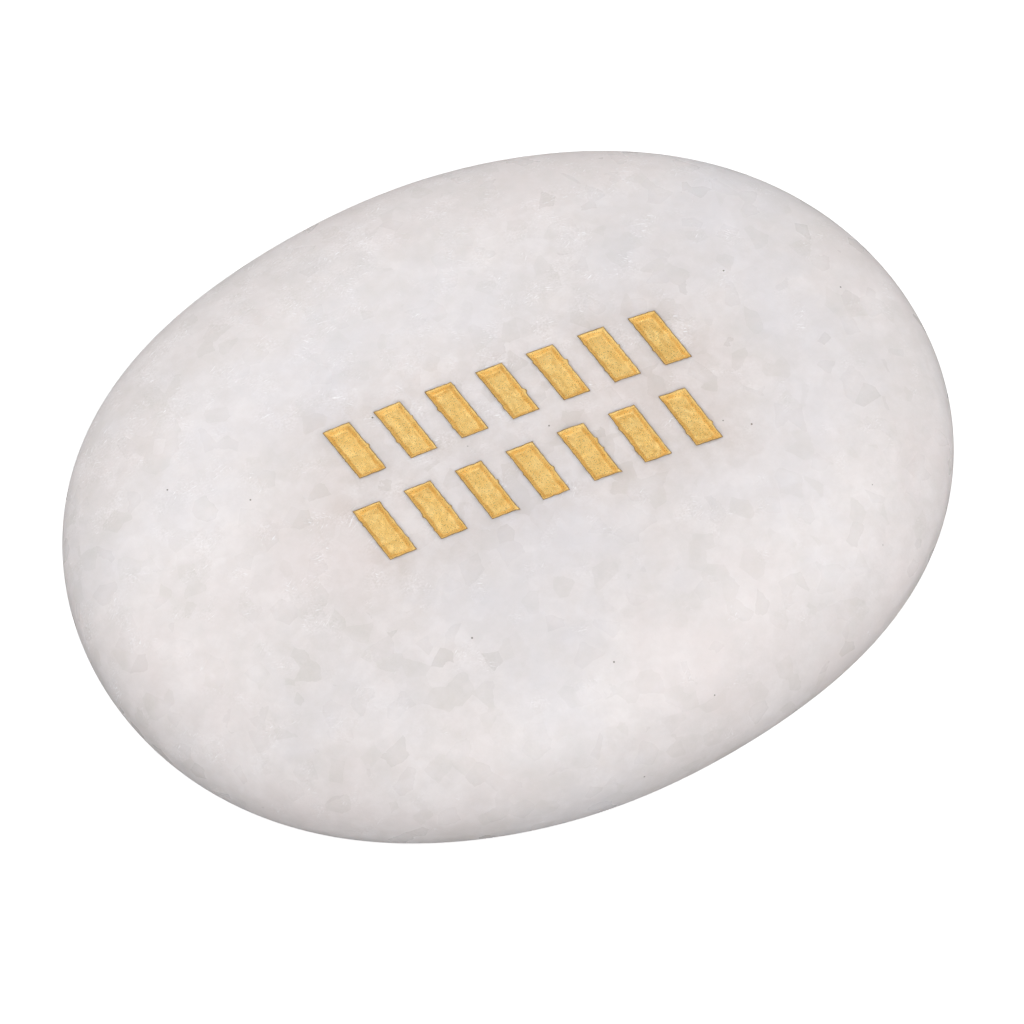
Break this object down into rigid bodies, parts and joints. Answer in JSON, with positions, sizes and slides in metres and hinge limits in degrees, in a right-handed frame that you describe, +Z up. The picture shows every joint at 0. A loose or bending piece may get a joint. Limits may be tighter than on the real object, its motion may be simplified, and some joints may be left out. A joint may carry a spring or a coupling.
{
  "type": "engraved stone",
  "caption": "Smooth tumbled marble pebble that lies flat, its top engraved with gold-painted strokes.",
  "frame": {"origin": "middle of the flat spot on the underside, where the stone meets the surface that it lies on", "axes": "+Z up through the engraved top, +X along the stone's longer side, towards the end of the band, +Y across it"},
  "size_m": [0.064, 0.0488, 0.0202],
  "materials": {
    "marble": "tumbled and polished",
    "gold_paint": "brushed into the engraving"
  },
  "bodies": {
    "root": {"stone": "marble"}
  },
  "joints": []
}
